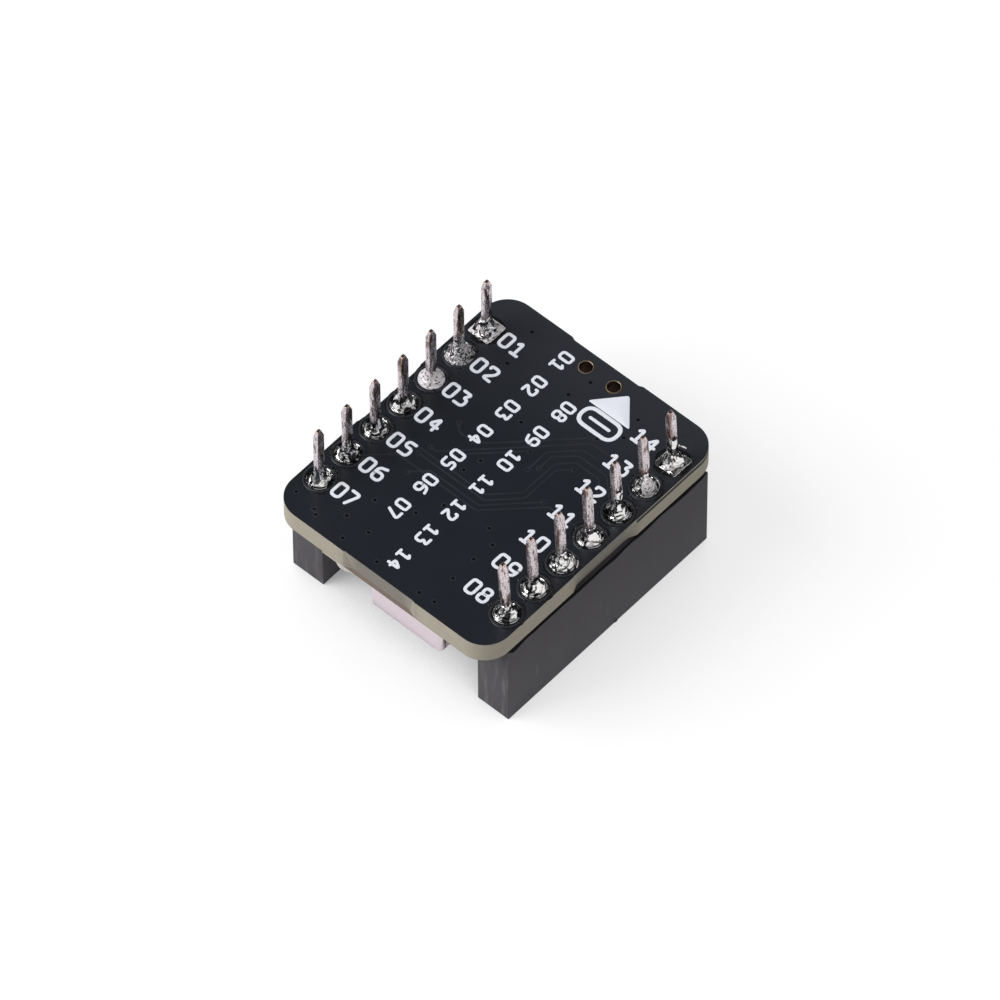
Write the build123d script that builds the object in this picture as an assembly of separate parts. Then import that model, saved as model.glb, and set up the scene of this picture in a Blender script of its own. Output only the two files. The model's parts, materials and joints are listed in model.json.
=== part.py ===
from build123d import *
from math import hypot
import os

# Sizes are in millimetres. The board stands on its two socket strips, entries down.
# Z is 0 at the sockets' feet, and the end with the printed arrow points along +Y.

# Pin grid
pin_pitch = 2.54
pins_per_row = 7
row_spacing = 15.24

# Carrier board
board_end_margin = 3.08
board_side_margin = 1.23
board_thickness = 1.6
board_corner_radius = 1.9
recess_width = 5.8
recess_depth = 0.25
recess_shoulder = 0.6
back_recess_shift = 0.4
back_recess_top_depth = 0.12
left_recess_top_depth = 0.12
front_recess_top_depth = 0.05
right_recess_top_depth = 0.03

# Plated holes and pads
pin_hole_clearance = 0.18
pin_pad_diameter = 1.7
square_pad_size = 1.7
pad_thickness = 0.04
open_hole_diameter = 0.9
open_hole_spacing = 2.28
open_hole_from_end = 1.21

# Socket strips
socket_width = 2.5
socket_height = 6.8
socket_end_distance = 1.53
socket_shift = 0.3
standoff_height = 0.2
standoff_length = 0.6
standoff_inset = 0.2
cavity_length = 1.7
cavity_width = 0.9
entry_wall = 1.0
entry_size = 0.8
funnel_size = 1.3
funnel_depth = 0.45

# Contacts, each one stamped fork with its tail
contact_thickness = 0.4
tail_width = 0.6
tail_height = 4.85
tail_tip_width = 0.3
tail_tip_thickness = 0.22
tail_tip_length = 0.5
right_row_lean = 0.28
web_height = 0.9
web_drop = 0.3
tine_width = 0.3
tine_wall_gap = 0.12
tine_floor_gap = 0.15
pinch_gap = 0.5
pinch_ramp = 0.6

# Solder joints of the tails
solder_height = 1.0
solder_neck_wall = 0.06
ground_joint = "left_solder_6"
ground_joint_height = 1.25
ground_joint_diameter = 1.9

# Radio module on the underside
module_side_gap = 0.87
module_length = 11.6
module_thickness = 0.8
module_from_end = 0.42
castellation_pitch = 1.5
castellations_per_side = 6
castellation_radius = 0.3
toe_housing_gap = 0.37
toe_rise = 0.6
castellation_fill = 0.4

# Shield can
can_side_margin = 0.95
can_end_margin = 0.08
can_back_margin = 0.5
can_height = 1.85
can_wall = 0.15
can_inner_radius = 0.2

# Antenna socket in the can's cut-out corner
antenna_base_size = 2.6
antenna_base_height = 0.35
antenna_side_inset = 0.35
antenna_front_inset = 0.1
antenna_cutout_side_gap = 1.3
antenna_cutout_back_gap = 0.3
antenna_ring_diameter = 2.0
antenna_ring_wall = 0.15
antenna_ring_height = 1.2
antenna_tab_width = 1.0
antenna_tab_thickness = 0.12
antenna_pin_diameter = 0.45
antenna_pin_height = 0.85

# Parts under the can
radio_chip_size = 4.0
radio_chip_height = 0.85
radio_chip_offset = 0.4
crystal_length = 2.0
crystal_width = 1.6
crystal_height = 0.7
switch_chip_size = 1.2
switch_chip_height = 0.5
chip_gap = 0.6

# Chip capacitors, inductors and resistors
chip_part_length = 1.0
chip_part_width = 0.5
chip_part_height = 0.45
chip_cap_length = 0.25
chip_part_pitch = 1.35
chip_part_wall_gap = 0.45
chips_on_right = 5
chips_on_left = 3
carrier_chips = 4
carrier_chip_pitch = 1.9
carrier_chip_gap = 2.2

# Sizes worked out from those above
tail_diagonal = hypot(contact_thickness, tail_width)
pin_hole_diameter = tail_diagonal + pin_hole_clearance
row_length = (pins_per_row - 1) * pin_pitch
board_length = row_length + 2 * board_end_margin
board_width = row_spacing + 2 * board_side_margin
board_end = board_length / 2
board_bottom = socket_height + standoff_height
board_top = board_bottom + board_thickness
socket_length = row_length + 2 * socket_end_distance
bay_width = row_spacing - socket_width
module_width = bay_width - 2 * module_side_gap
toe_length = module_side_gap - toe_housing_gap
module_front = -board_end + module_from_end
module_centre = module_front + module_length / 2
module_face = board_bottom - module_thickness
can_width = module_width - 2 * can_side_margin
can_length = module_length - can_end_margin - can_back_margin
can_front = module_front + can_end_margin
can_centre = can_front + can_length / 2
can_face = module_face - can_height
antenna_x = -module_width / 2 + antenna_side_inset + antenna_base_size / 2
antenna_y = module_front + antenna_front_inset + antenna_base_size / 2

sides = {"left": -1, "right": 1}


def slab(face, low, high):
    """A flat piece from one height up to another."""
    return Pos(0, 0, low) * extrude(face, high - low)


def tube(outer, inner, low, high):
    """A round tube, by its two diameters."""
    return slab(Circle(outer / 2) - Circle(inner / 2), low, high)


def pin_places(side):
    """Where the pads of one row lie, from the front to the marked end."""
    x = sides[side] * row_spacing / 2
    return [(x, (k - (pins_per_row - 1) / 2) * pin_pitch) for k in range(pins_per_row)]


def open_hole_places():
    y = board_end - open_hole_from_end
    return [(s * open_hole_spacing / 2, y) for s in (-1, 1)]


def all_pins():
    return pin_places("left") + pin_places("right")


def square_pad_places():
    """The two pins at the marked end, whose pads are square."""
    return [pin_places(side)[-1] for side in sides]


def snapped_recess(top_depth):
    """The hollow that a snapped tab leaves in a straight edge, deeper toward the underside."""
    half = recess_width / 2
    inner = half - recess_shoulder
    corners = [(-half, 0), (-inner, -recess_depth), (inner, -recess_depth), (half, 0)]
    outside = [(half, recess_depth), (-half, recess_depth)]
    hollow = slab(make_face(Polyline(*corners, *outside, close=True)), board_bottom, board_top)
    slope = Polyline(
        (-recess_depth, board_bottom), (recess_depth, board_bottom), (recess_depth, board_top),
        (-top_depth, board_top), close=True,
    )
    return hollow & extrude(Plane.YZ * make_face(slope), half, both=True)


def carrier_board():
    """The plate with its holes, and a recess near the middle of each side."""
    board = slab(RectangleRounded(board_width, board_length, board_corner_radius), board_bottom, board_top)
    for turn, edge, shift, top_depth in (
        (0, board_length, -back_recess_shift, back_recess_top_depth),
        (90, board_width, 0, left_recess_top_depth),
        (180, board_length, 0, front_recess_top_depth),
        (270, board_width, 0, right_recess_top_depth),
    ):
        board -= Rot(0, 0, turn) * Pos(shift, edge / 2, 0) * snapped_recess(top_depth)
    hole = slab(Circle(pin_hole_diameter / 2), board_bottom, board_top)
    board -= [Pos(*place, 0) * hole for place in all_pins()]
    hole = slab(Circle(open_hole_diameter / 2), board_bottom, board_top)
    return board - [Pos(*place, 0) * hole for place in open_hole_places()]


def square_pad(place, pin):
    pad = slab(Rectangle(square_pad_size, square_pad_size), board_top, board_top + pad_thickness)
    return Pos(*place, 0) * pad - pin


def frustum(low_size, high_size, low, high):
    """A four-sided taper between two squares."""
    profile = make_face(
        Polyline(
            (-low_size / 2, low), (low_size / 2, low), (high_size / 2, high), (-high_size / 2, high),
            close=True,
        )
    )
    reach = max(low_size, high_size)
    return extrude(Plane.XZ * profile, reach, both=True) & extrude(Plane.YZ * profile, reach, both=True)


def socket_cavity():
    """One contact chamber, open at the board, with a tapered pin entry at the foot."""
    chamber = slab(Rectangle(cavity_width, cavity_length), entry_wall, socket_height)
    entry = slab(Rectangle(entry_size, entry_size), 0, entry_wall)
    return chamber + entry + frustum(funnel_size, entry_size, 0, funnel_depth)


def socket_housing(side):
    """A moulded strip with one chamber for each pin and a stand-off at each end."""
    x = sides[side] * row_spacing / 2
    body = slab(Pos(0, socket_shift) * Rectangle(socket_width, socket_length), 0, socket_height)
    foot = Rectangle(socket_width - 2 * standoff_inset, standoff_length)
    reach = (socket_length - standoff_length) / 2
    for end in (-1, 1):
        body += Pos(0, socket_shift + end * reach, 0) * slab(foot, socket_height, board_bottom)
    cavity = socket_cavity()
    body -= [Pos(0, y, 0) * cavity for _, y in pin_places(side)]
    return Pos(x, 0, 0) * body


def fork_face():
    """The contact's two spring tines under their web, seen along X."""
    web_top = socket_height - web_drop
    throat = web_top - web_height
    tip = entry_wall + tine_floor_gap
    barb = cavity_length / 2
    outside = barb - tine_wall_gap
    inside = outside - tine_width
    pinch = pinch_gap / 2
    flare = tip + pinch_ramp
    half = [
        (0, web_top), (barb, web_top), (barb, throat), (outside, throat - tine_wall_gap),
        (outside, tip), (inside, tip), (pinch, flare), (inside, flare + 2 * pinch_ramp),
        (inside, throat), (0, throat),
    ]
    face = make_face(Polyline(*half, close=True))
    return face + mirror(face, Plane.YZ)


def tail(lean):
    """The tail from the web up through the board, tapered at its tip, as two crossed outlines."""
    start = socket_height - web_drop - web_height / 2
    top = board_top + tail_height
    shoulder = top - tail_tip_length
    half, tip = contact_thickness / 2, tail_tip_thickness / 2
    bend = lean * (shoulder - board_top) / tail_height
    seen_along_y = Polyline(
        (-half, start), (half, start), (half, board_top), (bend + half, shoulder),
        (lean + tip, top), (lean - tip, top), (bend - half, shoulder), (-half, board_top), close=True,
    )
    half, tip = tail_width / 2, tail_tip_width / 2
    seen_along_x = Polyline(
        (-half, start), (half, start), (half, shoulder), (tip, top), (-tip, top), (-half, shoulder),
        close=True,
    )
    broad = extrude(Plane.XZ * make_face(seen_along_y), tail_width, both=True)
    reach = contact_thickness + abs(lean)
    return broad & extrude(Plane.YZ * make_face(seen_along_x), reach, both=True)


def contact(side, place):
    fork = extrude(Plane.YZ * fork_face(), contact_thickness / 2, both=True)
    lean = -right_row_lean if side == "right" else 0
    return Pos(*place, 0) * (fork + tail(lean))


def solder_joint(name, place, pin):
    """Solder that stands on the pad and climbs the tail."""
    ground = name == ground_joint
    foot = (ground_joint_diameter if ground else pin_pad_diameter) / 2
    climb = ground_joint_height if ground else solder_height
    base = board_top + (pad_thickness if place in square_pad_places() else 0)
    neck = tail_diagonal / 2 + solder_neck_wall
    cone = Cone(foot, neck, climb, align=(Align.CENTER, Align.CENTER, Align.MIN))
    return Pos(*place, base) * cone - pin


def castellation_places():
    """The half-holes along both sides of the module, as (side, x, y)."""
    first = module_centre - (castellations_per_side - 1) * castellation_pitch / 2
    rows = [first + k * castellation_pitch for k in range(castellations_per_side)]
    return [(s, s * module_width / 2, y) for s in (-1, 1) for y in rows]


def module_board():
    face = Pos(0, module_centre) * Rectangle(module_width, module_length)
    face -= [Pos(x, y) * Circle(castellation_radius) for _, x, y in castellation_places()]
    return slab(face, module_face, board_bottom)


def module_joints():
    """Solder that stands in each half-hole and runs out on the carrier as a toe."""
    edge = module_width / 2
    toe = make_face(Polyline((edge, 0), (edge + toe_length, 0), (edge, -toe_rise), close=True))
    wedge = extrude(Plane.XZ * toe, castellation_fill / 2, both=True)
    fill = Rectangle(castellation_fill / 2, castellation_fill, align=(Align.MAX, Align.CENTER))
    joint = Pos(0, 0, board_bottom) * wedge + Pos(edge, 0) * slab(fill, module_face, board_bottom)
    turned = {1: joint, -1: Rot(0, 0, 180) * joint}
    return [Pos(0, y, 0) * turned[s] for s, _, y in castellation_places()]


def can_outline(inset):
    """The can seen from below, with its corner left out for the antenna socket."""
    outline = Pos(0, can_centre) * Rectangle(can_width - 2 * inset, can_length - 2 * inset)
    right = antenna_x + antenna_base_size / 2 + antenna_cutout_side_gap + inset
    back = antenna_y + antenna_base_size / 2 + antenna_cutout_back_gap + inset
    corner = Rectangle(board_width, board_length, align=(Align.MAX, Align.MAX))
    return outline - Pos(right, back) * corner


def shield_can():
    """Thin sheet walls and a flat lid, open toward the module board."""
    outer, inner = can_outline(0), can_outline(can_wall)
    outside = fillet(outer.vertices(), can_inner_radius + can_wall)
    inside = fillet(inner.vertices(), can_inner_radius)
    return slab(outside, can_face, module_face) - slab(inside, can_face + can_wall, module_face)


def hung(face, height):
    """A flat part soldered to the module's face, reaching down."""
    return slab(face, module_face - height, module_face)


def antenna_base():
    base = Rectangle(antenna_base_size, antenna_base_size)
    return hung(Pos(antenna_x, antenna_y) * base, antenna_base_height)


def antenna_shell():
    """The round metal contact with a solder tab on each side, over the plastic base."""
    low = module_face - antenna_base_height
    inner = antenna_ring_diameter - 2 * antenna_ring_wall
    ring = tube(antenna_ring_diameter, inner, module_face - antenna_ring_height, low)
    reach = (antenna_base_size - antenna_ring_diameter) / 2
    tab = Rectangle(reach, antenna_tab_width, align=(Align.MIN, Align.CENTER))
    tab = Pos(antenna_ring_diameter / 2, 0, 0) * slab(tab, low - antenna_tab_thickness, low)
    pieces = [ring, tab, Rot(0, 0, 180) * tab]
    return [Pos(antenna_x, antenna_y, 0) * piece for piece in pieces]


def antenna_pin():
    low, high = module_face - antenna_pin_height, module_face - antenna_base_height
    return Pos(antenna_x, antenna_y, 0) * slab(Circle(antenna_pin_diameter / 2), low, high)


def radio_chip_place():
    return (radio_chip_offset, can_centre + radio_chip_offset)


def radio_chip():
    return hung(Pos(*radio_chip_place()) * Rectangle(radio_chip_size, radio_chip_size), radio_chip_height)


def crystal():
    x, y = radio_chip_place()
    y += radio_chip_size / 2 + chip_gap + crystal_width / 2
    return hung(Pos(x, y) * Rectangle(crystal_length, crystal_width), crystal_height)


def switch_chip():
    x, y = radio_chip_place()
    y -= radio_chip_size / 2 + chip_gap + switch_chip_size / 2
    return hung(Pos(x, y) * Rectangle(switch_chip_size, switch_chip_size), switch_chip_height)


def chip_parts(places, top):
    """The bodies and the metal end caps of small parts that lie along Y."""
    low = top - chip_part_height
    middle = chip_part_length - 2 * chip_cap_length
    body = slab(Rectangle(chip_part_width, middle), low, top)
    cap = slab(Rectangle(chip_part_width, chip_cap_length), low, top)
    reach = (middle + chip_cap_length) / 2
    bodies = [Pos(x, y, 0) * body for x, y in places]
    caps = [Pos(x, y + end * reach, 0) * cap for x, y in places for end in (-1, 1)]
    return bodies, caps


def module_chip_places():
    """A column of small parts along each side wall inside the can."""
    inset = can_wall + chip_part_wall_gap + chip_part_width / 2
    x = can_width / 2 - inset
    back = can_centre + can_length / 2 - can_wall - chip_part_wall_gap - chip_part_length / 2
    right = [(x, back - k * chip_part_pitch) for k in range(chips_on_right)]
    left = [(-x, back - k * chip_part_pitch) for k in range(chips_on_left)]
    return right + left


def carrier_chip_places():
    """A row of small parts behind the module, on the carrier's underside."""
    y = module_front + module_length + carrier_chip_gap
    first = -(carrier_chips - 1) * carrier_chip_pitch / 2
    return [(first + k * carrier_chip_pitch, y) for k in range(carrier_chips)]


def write(name, shapes):
    """One STEP file for one node, of one solid or of several like ones."""
    shapes = shapes if isinstance(shapes, list) else [shapes]
    solids = [solid for shape in shapes for solid in shape.solids()]
    export_step(solids[0] if len(solids) == 1 else Compound(children=solids), f"parts/{name}.step")


def write_sockets():
    for side in sides:
        write(f"{side}_socket_housing", socket_housing(side))
        for number, place in enumerate(pin_places(side), 1):
            pin = contact(side, place)
            write(f"{side}_contact_{number}", pin)
            joint = f"{side}_solder_{number}"
            write(joint, solder_joint(joint, place, pin))
            if place in square_pad_places():
                write(f"{side}_square_pad", square_pad(place, pin))


def write_module():
    write("module_board", module_board())
    write("module_joints", module_joints())
    write("shield_can", shield_can())
    write("antenna_base", antenna_base())
    write("antenna_shell", antenna_shell())
    write("antenna_pin", antenna_pin())
    write("radio_chip", radio_chip())
    write("crystal_oscillator", crystal())
    write("antenna_switch_chip", switch_chip())
    for owner, places, top in (
        ("module", module_chip_places(), module_face),
        ("carrier", carrier_chip_places(), board_bottom),
    ):
        bodies, caps = chip_parts(places, top)
        write(f"{owner}_chip_bodies", bodies)
        write(f"{owner}_chip_caps", caps)


def main():
    os.makedirs("parts", exist_ok=True)
    write("carrier_board", carrier_board())
    write_sockets()
    write_module()


main()
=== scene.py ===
import json

import bmesh
import bpy
import numpy as np
from bpy.props import FloatProperty, FloatVectorProperty, IntProperty, PointerProperty
from mathutils import Matrix, Vector


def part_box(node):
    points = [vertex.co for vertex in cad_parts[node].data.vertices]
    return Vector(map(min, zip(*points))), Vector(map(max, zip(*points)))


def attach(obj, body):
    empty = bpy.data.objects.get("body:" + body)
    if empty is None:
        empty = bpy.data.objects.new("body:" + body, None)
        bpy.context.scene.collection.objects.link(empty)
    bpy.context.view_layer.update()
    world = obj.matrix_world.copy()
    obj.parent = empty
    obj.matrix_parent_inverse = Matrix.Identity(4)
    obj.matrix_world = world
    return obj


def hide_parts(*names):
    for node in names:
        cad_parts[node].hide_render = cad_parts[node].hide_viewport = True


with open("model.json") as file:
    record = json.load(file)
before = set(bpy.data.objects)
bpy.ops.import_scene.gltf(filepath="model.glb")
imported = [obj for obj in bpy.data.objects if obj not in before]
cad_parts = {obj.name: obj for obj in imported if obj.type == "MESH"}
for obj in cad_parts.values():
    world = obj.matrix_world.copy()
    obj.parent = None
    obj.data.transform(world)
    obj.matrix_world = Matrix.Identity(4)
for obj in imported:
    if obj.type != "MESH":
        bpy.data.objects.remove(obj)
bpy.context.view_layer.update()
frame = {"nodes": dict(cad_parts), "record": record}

bl_info = {
    "name": "Radio expansion board",
    "version": (1, 0, 0),
    "blender": (4, 5, 0),
    "location": "View3D > Sidebar > Radio board",
    "description": "Solder, lacquer, print, plastic and metal of a small board on two socket strips",
    "category": "Add Mesh",
}

# Lengths are in metres, in the frame's own axes, with the board's solder side up.
MM = 0.001
SIDES = ("left", "right")
PINS = range(1, 8)

board_low, board_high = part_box("carrier_board")
tail_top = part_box("left_contact_1")[1].z
square_pads = ("left_square_pad", "right_square_pad")

# Raised skins reach this far into the surface under them, so that no gap shows at their edge.
sunk = 0.01 * MM

# The two plated holes that hold no pin, from the record's mounts.
open_holes = [mount["pos_m"][:2] for mount in frame["record"]["mounts"] if mount["kind"] == "bore"]

# Tented vias, as places on the board in millimetres.
via_places = (
    (-4.15, -1.35), (-1.5, -1.3), (-3.95, -3.7), (-0.6, -4.1), (-1.5, -5.65), (-4.0, -6.6),
    (-4.5, -8.6), (-2.65, -8.65), (-8.0, -9.3), (-6.3, -9.55), (-5.95, -9.8), (-3.55, -10.0),
    (-0.8, -9.95), (2.6, -3.55), (3.6, -4.35), (3.45, -5.9), (3.45, -7.8), (2.65, -9.95),
    (3.8, -9.85), (-5.4, 9.3), (-0.15, 8.8), (-0.55, 7.2), (3.9, 8.6), (-4.95, 6.5),
    (-1.3, 3.72), (4.15, 7.0), (-1.2, -0.1), (1.38, 1.3), (1.85, 1.85), (-4.1, 1.15),
    (0.55, 2.4), (0.6, 0.8), (3.75, 0.1), (-4.4, -2.18), (2.95, 5.85), (5.6, 3.15), (3.5, 3.15),
)

# Copper tracks under the lacquer, each one the corners of its centre line in millimetres.
tracks = (
    ((-4.1, 1.15), (-3.6, 0.65), (-2.3, 0.65), (2.9, 5.85)),
    ((-4.15, -1.35), (-3.65, -1.35), (3.05, 5.4), (6.9, 5.4)),
    ((-2.9, -1.0), (0.55, 2.4)),
    ((1.38, 1.3), (1.38, 3.05), (3.0, 4.68), (4.2, 4.68)),
    ((1.85, 1.85), (1.85, 3.0), (3.05, 4.15), (5.3, 4.15), (6.95, 2.6)),
    ((5.6, 3.15), (5.1, 3.65), (3.25, 3.65), (2.35, 2.7), (2.35, -0.2), (0.73, -1.82), (-5.6, -1.82),
     (-6.3, -2.5), (-6.9, -2.5)),
    ((3.5, 3.15), (2.72, 2.37), (2.72, -0.43), (0.97, -2.18), (-4.4, -2.18)),
    ((3.75, 0.1), (1.0, -2.68), (-2.95, -2.68), (-3.95, -3.7)),
    ((6.9, 0.05), (4.25, 0.05), (1.12, -3.08), (-5.3, -3.08), (-7.0, -4.75)),
    ((7.0, 8.5), (6.5, 9.0), (6.5, 9.3), (7.1, 9.85), (7.4, 9.85), (7.75, 9.5), (7.75, 9.1)),
)

# The arrow's corners, and the outline of the port that it points past, in millimetres.
arrow_corners = ((0.62, 7.68), (4.02, 7.68), (2.32, 9.64))
port_centre = (2.37, 6.8)
port_size = (2.81, 1.39)
port_bar_length = 1.5

# Turned profiles, as distances out and up. A tented via and its dark mouth are in shares of the
# via's radius and in micrometres, the ring of an open hole in shares of its width and height, and
# the collar round a pad in millimetres from its outer edge.
via_profile = ((0, -10), (1, -10), (0.97, 6), (0.8, 14), (0.66, 14), (0.55, 6), (0.5, 2), (0, 2))
mouth_profile = ((0, -10), (0.56, -10), (0.56, 11), (0.4, 5), (0.2, 3.5), (0, 3))
ring_profile = ((0, -0.1), (1, -0.1), (0.85, 0.8), (0.3, 1), (0, 0.6), (0, -0.1))
collar_profile = ((-0.16, 0), (0, 0), (-0.02, 0.014), (-0.07, 0.03), (-0.13, 0.028), (-0.16, 0))

# Each numeral as the corners of its strokes, in a cell 0.6 wide and 1 high.
numerals = {
    "0": [((0.3, 1), (0, 1), (0, 0), (0.6, 0), (0.6, 1), (0.3, 1))],
    "1": [((0.08, 0.78), (0.32, 1), (0.32, 0)), ((0.08, 0), (0.56, 0))],
    "2": [((0.02, 0.82), (0.02, 1), (0.6, 1), (0.6, 0.6), (0, 0.04), (0.6, 0))],
    "3": [((0, 1), (0.6, 1), (0.25, 0.56), (0.6, 0.56), (0.6, 0), (0, 0))],
    "4": [((0.45, 0), (0.45, 1), (0, 0.3), (0.62, 0.3))],
    "5": [((0.56, 1), (0.06, 1), (0.03, 0.56), (0.6, 0.62), (0.6, 0), (0, 0))],
    "6": [((0.5, 1), (0, 0.85), (0, 0), (0.6, 0), (0.6, 0.56), (0, 0.56), (0, 0.3))],
    "7": [((0, 1), (0.6, 1), (0.2, 0))],
    "8": [((0.3, 0.54), (0.04, 0.54), (0.04, 1), (0.56, 1), (0.56, 0.54), (0, 0.54), (0, 0), (0.6, 0),
           (0.6, 0.54), (0.3, 0.54))],
    "9": [((0.1, 0), (0.6, 0.15), (0.6, 1), (0, 1), (0, 0.44), (0.6, 0.44), (0.6, 0.7))],
}

# The two long lines of plain numbers between the rows: text and first place in millimetres.
number_lines = (
    ("01 02 03 04 05 06 07", (-2.95, 9.5)),
    ("08 09 10 11 12 13 14", (-0.3, 6.7)),
)

# How each joint set: how round it stands (0 hollow, 1 domed), how uneven it is, and how far it
# climbs its tail, as a share of the coat on the ground tail.
joint_shapes = {
    "left": ((0.1, 1.1, 0.2), (0.2, 1.4, 0.3), (0.1, 0.9, 0.1), (0.45, 1.4, 0.3), (0.8, 0.7, 0),
             (0.35, 1.6, 1), (0.3, 1.5, 0.3)),
    "right": ((0.4, 0.9, 0.05), (0.3, 1.2, 0.05), (0.6, 0.8, 0.25), (0.3, 1.5, 0.1), (0.1, 1.4, 1.3),
              (0.2, 1.5, 0.5), (0.25, 1.5, 1.5)),
}
frosted_joints = ("left_solder_5", "left_square_pad")

# Beads of solder beside a joint: its row and pin, and the bead's centre from the pad's and its
# radii along X, Y and Z, in millimetres.
beads = (
    ("right", 4, (0.42, -0.5, 0.2), (0.21, 0.21, 0.2)),
    ("right", 6, (0.36, -0.24, 0.62), (0.34, 0.4, 0.84)),
    ("right", 7, (0.15, -0.5, 0.12), (0.36, 0.3, 0.24)),
)

# Painted glints: thin white arcs of frosted solder at a joint's rim, which stand in for light
# glinting on the flux's edge: row, pin, radius in millimetres, first and last angle.
painted_glints = (("right", 6, 0.86, 48, 90), ("right", 7, 1.3, 94, 118), ("right", 3, 0.95, 20, 50))


def linear(code):
    """An sRGB hex value as the linear colour that the shaders take."""
    srgb = np.array([int(code[k:k + 2], 16) for k in (0, 2, 4)]) / 255
    low, high = srgb / 12.92, ((srgb + 0.055) / 1.055) ** 2.4
    return (*np.where(srgb <= 0.04045, low, high).tolist(), 1.0)


def colour(label, code, meaning):
    return FloatVectorProperty(
        name=label, description=meaning, default=linear(code), size=4, subtype="COLOR", min=0, max=1
    )


def length(label, value, meaning):
    return FloatProperty(
        name=label, description=meaning, default=value * MM, unit="LENGTH", min=0, precision=5
    )


def amount(label, value, meaning):
    return FloatProperty(name=label, description=meaning, default=value)


class RADIO_PG_lacquer(bpy.types.PropertyGroup):
    lacquer: colour("Lacquer", "1e2229", "Black solder mask on both faces")
    lacquer_worn: colour("Lacquer, thin", "24282f", "Where the mask lies thinner")
    # This paler tone is also painted onto the board's lacquer towards the back, as painted sheen.
    raised: colour("Lacquer, raised", "383a41", "The mask where copper lifts it")
    core: colour("Core", "b0a796", "Routed edge of the glass and epoxy core")
    core_pale: colour("Core, pale", "beb7a7", "Glass bundles cut across at the edge")
    snapped: colour("Core, snapped", "8b867d", "Rough break where a tab was snapped off")
    track_width: length("Track width", 0.12, "Copper tracks that show through the lacquer")
    track_height: length("Track height", 0.016, "How far a track lifts the lacquer")
    via_radius: length("Via radius", 0.2, "Outside of the ring round a tented via")
    ring_width: length("Ring width", 0.07, "Bare copper ring round each open hole")


class RADIO_PG_print(bpy.types.PropertyGroup):
    ink: colour("Ink", "f3f6ff", "White epoxy ink")
    ink_height: length("Ink height", 0.03, "Thickness of the ink, over the tracks")
    number_height: length("Number height", 1.03, "Pin numbers, between the middles of their strokes")
    number_stroke: length("Number stroke", 0.22, "Line width of the pin numbers")
    number_step: length("Number step", 0.97, "From one digit of a pin number to the next")
    number_inset: length("Number inset", 1.2, "From a pad's centre to the nearest digit")
    line_height: length("Line height", 0.85, "Digits of the two long lines")
    line_stroke: length("Line stroke", 0.2, "Stroke of the digits in the two long lines")
    line_step: length("Line step", 0.83, "From one digit of a long line to the next")
    port_line: length("Port line", 0.28, "Line width of the port's outline")
    port_bar: length("Port bar", 0.22, "Line width of the bar inside the port")


class RADIO_PG_solder(bpy.types.PropertyGroup):
    solder: colour("Solder", "eae9e8", "Bright tin alloy")
    tin: colour("Tin", "dfd4d7", "Plating of the contact tails")
    stain: colour("Stain", "7f6253", "Brown patches where the plating is thin")
    tip: colour("Tip", "c4aca4", "Bare copper alloy where the tails were cut")
    film_radius: length("Film radius", 1.15, "Flux left round a joint")
    collar_radius: length("Collar radius", 1.08, "Outside of a pad's copper under the lacquer")
    coat: length("Coat", 1.0, "How far solder coats the ground tail above its joint")
    seed: IntProperty(name="Seed", description="Draws the joints' lumps", default=7)


class RADIO_PG_body(bpy.types.PropertyGroup):
    plastic: colour("Plastic", "565458", "Moulded socket strips")
    can: colour("Can", "d6c8cf", "Nickel silver sheet of the shield")
    gold: colour("Gold", "d8b26e", "Thin gold over nickel")
    nickel: colour("Nickel", "d4d2d0", "Bright nickel over brass")
    copper: colour("Copper", "d9c2a6", "Thin tin and gold over copper")
    edge_radius: length("Edge radius", 0.05, "Rounding of the moulded and stamped edges")
    # The dark bead is partly baked flux and partly painted shadow of the gap under the board.
    flux_and_shadow: length("Residue", 0.36, "Dark bead of flux between the board and the right strip")


class RADIO_PG_stage(bpy.types.PropertyGroup):
    floor: colour("Floor", "a8a8a9", "Paper under the board, as the light finds it")
    glow: amount("Glow", 0.68, "What the camera and metal see on top of that")
    azimuth: amount("Azimuth", 42.122, "Camera's turn in degrees")
    elevation: amount("Elevation", 53.679, "Camera's height angle in degrees")
    roll: amount("Roll", 0.344, "Turn about the line of sight in degrees")
    distance: length("Distance", 724.9, "From the middle of the board's top to the camera")
    across: amount("Across", 0.206 * MM, "Aim to the right in metres")
    along: amount("Along", -1.812 * MM, "Aim upwards in metres")
    lens: amount("Lens", 428.7, "In millimetres on a 36 mm sensor")
    key: amount("Key", 1.9, "Watts of the large soft light")
    fill: amount("Fill", 0.1, "Watts of the light from the other side")
    sky: amount("Sky", 0.47, "Level of the light from all round")
    ceiling: amount("Ceiling", 0.05, "How bright metal sees the room overhead")


def per(size):
    """How many features of this size fit in a metre, which is what a texture's scale means here."""
    return 1 / size


def toned(tone, share):
    """The same colour, darker or lighter by that share."""
    return tuple(share * c for c in tone[:3]) + (1.0,)


def fill(node, *values, **named):
    """Fills a node's live sockets: the values in order, then the named ones, with _ for each space.
    A socket is linked from a socket, or from a node's first live output, or else set."""
    live = [socket for socket in node.inputs if socket.enabled]
    by_name = {socket.name.replace(" ", "_"): socket for socket in live}
    targets = live[:len(values)] + [by_name[name] for name in named]
    for target, value in zip(targets, (*values, *named.values())):
        if isinstance(value, bpy.types.Node):
            value = next(output for output in value.outputs if output.enabled)
        if isinstance(value, bpy.types.NodeSocket):
            node.id_data.links.new(value, target)
        else:
            target.default_value = value


def add(tree, kind, *values, **named):
    """Adds one node and fills it. The kind's second word is its operation or its type of data, and
    a name in small letters is another of its own options."""
    kind, _, choice = kind.partition(" ")
    node = tree.nodes.new("ShaderNode" + kind)
    if choice:
        setattr(node, "operation" if kind == "Math" else "data_type", choice)
    for name in [name for name in named if name.islower()]:
        setattr(node, name, named.pop(name))
    fill(node, *values, **named)
    return node


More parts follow.
